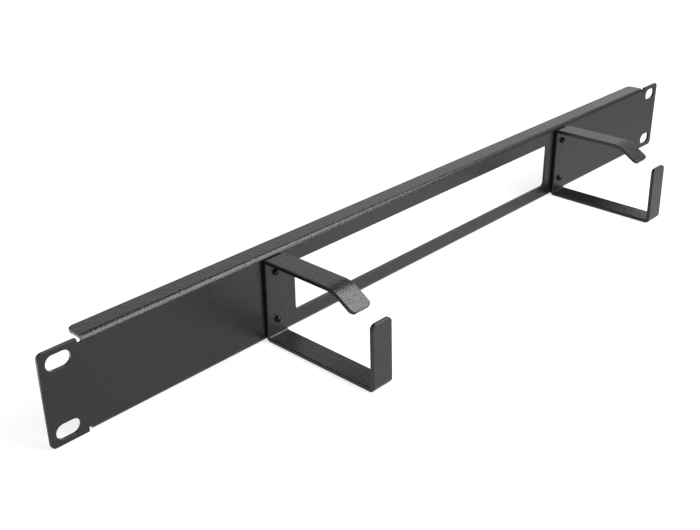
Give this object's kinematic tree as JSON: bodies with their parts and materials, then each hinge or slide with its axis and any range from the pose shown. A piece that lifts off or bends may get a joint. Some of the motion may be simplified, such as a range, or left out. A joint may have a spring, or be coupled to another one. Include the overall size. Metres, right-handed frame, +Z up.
{
  "type": "rack cable management panel",
  "caption": "One-unit rack panel of folded sheet with slotted ears and a long cable window, and open bent-strip hooks riveted to its front to hold cables.",
  "frame": {"origin": "centre of the four rack slots, on the rear face of the panel's sheet, where the ears meet the rack rails", "axes": "+X along the panel, to the right as seen from the front; +Y backwards into the rack, so the hooks reach towards -Y; +Z up"},
  "size_m": [0.4826, 0.0782, 0.0436],
  "materials": {
    "panel_coat": "fine-textured black powder coat",
    "hook_coat": "fine-textured black powder coat",
    "rivet_black": "black lacquer, semi-gloss",
    "mandrel_steel": "darkened steel"
  },
  "bodies": {
    "root": {"panel": "panel_coat", "hook_left": "hook_coat", "hook_right": "hook_coat", "rivet_left_lower": "rivet_black", "rivet_left_upper": "rivet_black", "rivet_right_lower": "rivet_black", "rivet_right_upper": "rivet_black", "mandrel_left_lower": "mandrel_steel", "mandrel_left_upper": "mandrel_steel", "mandrel_right_lower": "mandrel_steel", "mandrel_right_upper": "mandrel_steel"}
  },
  "joints": []
}
